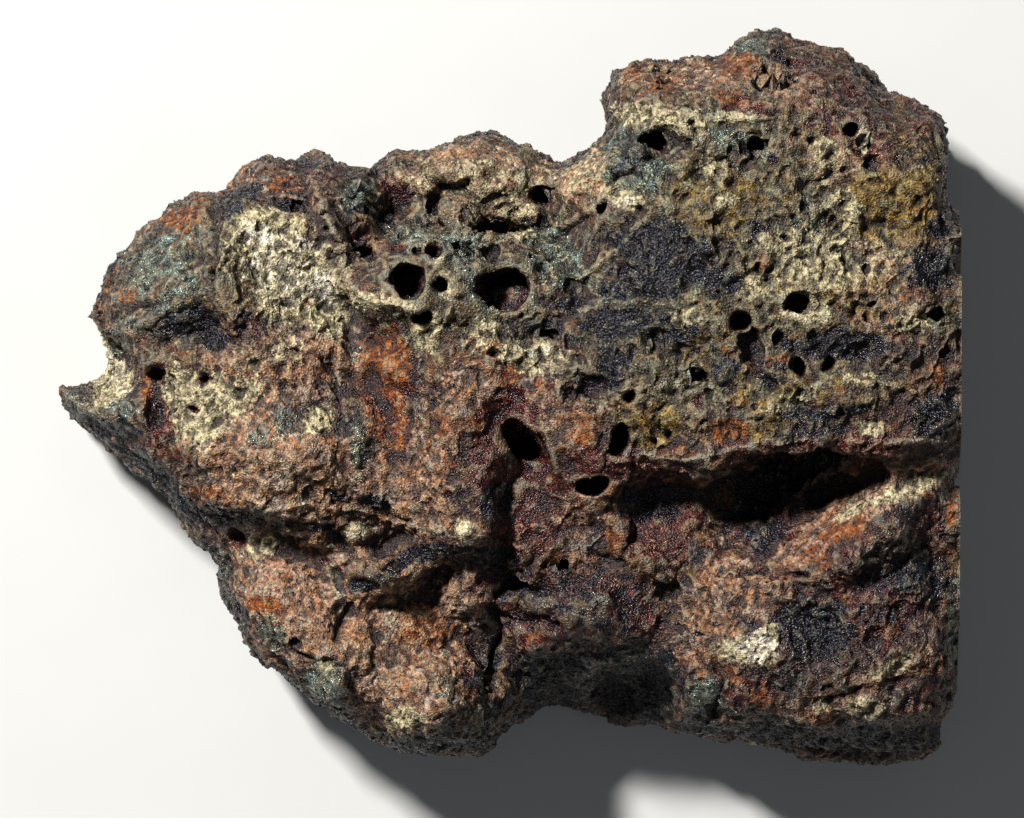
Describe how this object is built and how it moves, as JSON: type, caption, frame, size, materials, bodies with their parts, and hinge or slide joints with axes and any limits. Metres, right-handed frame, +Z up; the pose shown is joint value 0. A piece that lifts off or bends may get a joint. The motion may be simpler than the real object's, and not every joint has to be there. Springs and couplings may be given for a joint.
{
  "type": "iron meteorite end piece with a sawn back and a sawn side",
  "caption": "Thick sawn piece of a weathered iron meteorite with a rough, pitted natural face, resting on its flat sawn back.",
  "frame": {"origin": "middle of the bounding rectangle of the sawn back, on the plane it rests on", "axes": "+X from the pointed spur to the sawn side, +Y towards the high prow, +Z up from the sawn back out of the natural face"},
  "size_m": [0.1, 0.0824, 0.0332],
  "materials": {
    "weathered_iron": "oxidised, rough crust in red-brown, ochre and blue-black; the sawn faces are dull, stained metal"
  },
  "bodies": {
    "root": {"meteorite": "weathered_iron"}
  },
  "joints": []
}
